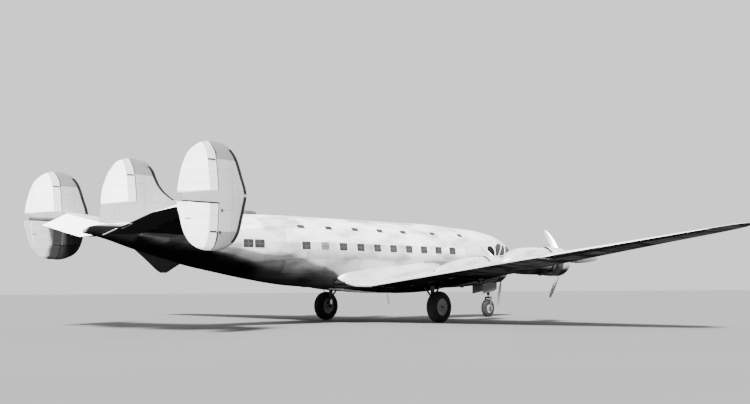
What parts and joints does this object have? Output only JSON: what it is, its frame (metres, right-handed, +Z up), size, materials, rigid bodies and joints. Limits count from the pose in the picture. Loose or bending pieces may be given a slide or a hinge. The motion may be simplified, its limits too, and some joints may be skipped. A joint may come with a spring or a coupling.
{
  "type": "four-engine propeller airliner, 1:2 scale model",
  "caption": "Bare-metal low-wing airliner model with ring-cowled radial engines, a triple-fin tail and nose-wheel landing gear, standing on its wheels.",
  "frame": {"origin": "on the ground, midway between nose and tail tip and midway between the wing tips", "axes": "+X points to the nose, +Y to the airliner's left and +Z up"},
  "size_m": [14.87, 21.07, 3.7375],
  "materials": {
    "bare_metal": "polished bare metal, weathered satin, with seams and rivets",
    "fin_metal": "satin bare metal",
    "doped_fabric": "silver doped fabric over ribs",
    "dark_glazing": "dark gloss glazing",
    "engine_metal": "dark oily metal",
    "blade_metal": "brushed metal",
    "gear_metal": "light grey enamel",
    "tyre": "worn matt rubber",
    "dark_fairing": "matt dark resin"
  },
  "bodies": {
    "airframe": {"fuselage": "bare_metal", "cockpit_glazing": "dark_glazing", "right_wing": "bare_metal", "left_wing": "bare_metal", "right_outer_nacelle": "bare_metal", "right_outer_cowl": "bare_metal", "right_outer_engine": "engine_metal", "right_inner_nacelle": "bare_metal", "right_inner_cowl": "bare_metal", "right_inner_engine": "engine_metal", "left_inner_nacelle": "bare_metal", "left_inner_cowl": "bare_metal", "left_inner_engine": "engine_metal", "left_outer_nacelle": "bare_metal", "left_outer_cowl": "bare_metal", "left_outer_engine": "engine_metal", "right_end_fin": "fin_metal", "left_end_fin": "fin_metal", "centre_fin": "fin_metal", "right_stabiliser": "bare_metal", "left_stabiliser": "bare_metal", "tail_skid": "bare_metal", "aerial_fairing": "dark_fairing", "right_main_leg": "gear_metal", "left_main_leg": "gear_metal", "nose_leg": "gear_metal", "right_nose_door": "bare_metal", "left_nose_door": "bare_metal"},
    "right_outer_propeller_body": {"right_outer_propeller": "blade_metal"},
    "right_inner_propeller_body": {"right_inner_propeller": "blade_metal"},
    "left_inner_propeller_body": {"left_inner_propeller": "blade_metal"},
    "left_outer_propeller_body": {"left_outer_propeller": "blade_metal"},
    "right_main_wheel": {"right_main_tyre": "tyre", "right_main_hub": "gear_metal"},
    "left_main_wheel": {"left_main_tyre": "tyre", "left_main_hub": "gear_metal"},
    "nose_steering": {"nose_fork": "gear_metal"},
    "nose_wheel": {"nose_tyre": "tyre", "nose_hub": "gear_metal"},
    "centre_rudder_body": {"centre_rudder": "doped_fabric"},
    "right_upper_rudder_body": {"right_upper_rudder": "doped_fabric"},
    "right_lower_rudder_body": {"right_lower_rudder": "doped_fabric"},
    "left_upper_rudder_body": {"left_upper_rudder": "doped_fabric"},
    "left_lower_rudder_body": {"left_lower_rudder": "doped_fabric"},
    "right_elevator_body": {"right_elevator": "doped_fabric"},
    "right_aileron_body": {"right_aileron": "doped_fabric"},
    "right_flap_body": {"right_flap": "bare_metal"},
    "left_elevator_body": {"left_elevator": "doped_fabric"},
    "left_aileron_body": {"left_aileron": "doped_fabric"},
    "left_flap_body": {"left_flap": "bare_metal"},
    "passenger_door_body": {"passenger_door": "bare_metal"}
  },
  "joints": [
    {"name": "right_outer_propeller_spin", "type": "hinge", "parent": "airframe", "child": "right_outer_propeller_body", "pos_m": [3.215, -4.675, 1.525], "axis": [1, 0, 0], "continuous": true},
    {"name": "right_inner_propeller_spin", "type": "hinge", "parent": "airframe", "child": "right_inner_propeller_body", "pos_m": [3.865, -2.275, 1.385], "axis": [1, 0, 0], "continuous": true},
    {"name": "left_inner_propeller_spin", "type": "hinge", "parent": "airframe", "child": "left_inner_propeller_body", "pos_m": [3.865, 2.275, 1.385], "axis": [1, 0, 0], "continuous": true},
    {"name": "left_outer_propeller_spin", "type": "hinge", "parent": "airframe", "child": "left_outer_propeller_body", "pos_m": [3.215, 4.675, 1.525], "axis": [1, 0, 0], "continuous": true},
    {"name": "right_main_wheel_spin", "type": "hinge", "parent": "airframe", "child": "right_main_wheel", "pos_m": [1.315, -2.15, 0.405], "axis": [0, 1, 0], "continuous": true},
    {"name": "left_main_wheel_spin", "type": "hinge", "parent": "airframe", "child": "left_main_wheel", "pos_m": [1.315, 2.15, 0.405], "axis": [0, 1, 0], "continuous": true},
    {"name": "nose_steer", "type": "hinge", "parent": "airframe", "child": "nose_steering", "pos_m": [6.14, 0, 0.6], "axis": [0, 0, 1], "range_deg": [-45, 45]},
    {"name": "nose_wheel_spin", "type": "hinge", "parent": "nose_steering", "child": "nose_wheel", "pos_m": [6.105, 0, 0.275], "axis": [0, 1, 0], "continuous": true},
    {"name": "rudder_centre", "type": "hinge", "parent": "airframe", "child": "centre_rudder_body", "pos_m": [-6.235, 0, 2.8025], "axis": [-0.0855, 0, 0.9963], "range_deg": [-25, 25]},
    {"name": "rudder_right_upper", "type": "hinge", "parent": "airframe", "child": "right_upper_rudder_body", "pos_m": [-6.3625, -3.175, 2.785], "axis": [-0.083, 0, 0.9965], "range_deg": [-25, 25]},
    {"name": "rudder_right_lower", "type": "hinge", "parent": "airframe", "child": "right_lower_rudder_body", "pos_m": [-6.37, -3.175, 1.98], "axis": [0.0291, 0, 0.9996], "range_deg": [-25, 25]},
    {"name": "rudder_left_upper", "type": "hinge", "parent": "airframe", "child": "left_upper_rudder_body", "pos_m": [-6.3625, 3.175, 2.785], "axis": [-0.083, 0, 0.9965], "range_deg": [-25, 25]},
    {"name": "rudder_left_lower", "type": "hinge", "parent": "airframe", "child": "left_lower_rudder_body", "pos_m": [-6.37, 3.175, 1.98], "axis": [0.0291, 0, 0.9996], "range_deg": [-25, 25]},
    {"name": "elevator_right", "type": "hinge", "parent": "airframe", "child": "right_elevator_body", "pos_m": [-6.335, 0, 2.085], "axis": [0, 0.9823, -0.1874], "range_deg": [-4.5, 33.5]},
    {"name": "elevator_left", "type": "hinge", "parent": "airframe", "child": "left_elevator_body", "pos_m": [-6.335, 0, 2.085], "axis": [0, 0.9823, 0.1874], "range_deg": [-4.5, 33.5]},
    {"name": "aileron_right", "type": "hinge", "parent": "airframe", "child": "right_aileron_body", "pos_m": [0.52819, -6.165, 1.56585], "axis": [-0.0006, 0.9933, -0.1155], "range_deg": [-20, 20]},
    {"name": "aileron_left", "type": "hinge", "parent": "airframe", "child": "left_aileron_body", "pos_m": [0.52819, 6.165, 1.56585], "axis": [0.0006, 0.9933, 0.1155], "range_deg": [-20, 20]},
    {"name": "flap_right", "type": "hinge", "parent": "airframe", "child": "right_flap_body", "pos_m": [0.49452, -1.35, 0.91208], "axis": [0.0005, -0.9919, 0.1267], "range_deg": [0, 40]},
    {"name": "flap_left", "type": "hinge", "parent": "airframe", "child": "left_flap_body", "pos_m": [0.49452, 1.35, 0.91208], "axis": [-0.0005, -0.9919, -0.1267], "range_deg": [0, 40]},
    {"name": "door_passenger", "type": "hinge", "parent": "airframe", "child": "passenger_door_body", "pos_m": [-2.735, 0.795, 1.88], "axis": [0, 0, -1], "range_deg": [0, 110]}
  ],
  "couplings": [
    {"joint": "rudder_right_upper", "follows": "rudder_centre", "ratio": 1},
    {"joint": "rudder_right_lower", "follows": "rudder_centre", "ratio": 1},
    {"joint": "rudder_left_upper", "follows": "rudder_centre", "ratio": 1},
    {"joint": "rudder_left_lower", "follows": "rudder_centre", "ratio": 1},
    {"joint": "elevator_left", "follows": "elevator_right", "ratio": 1},
    {"joint": "aileron_left", "follows": "aileron_right", "ratio": -1},
    {"joint": "flap_left", "follows": "flap_right", "ratio": 1}
  ]
}
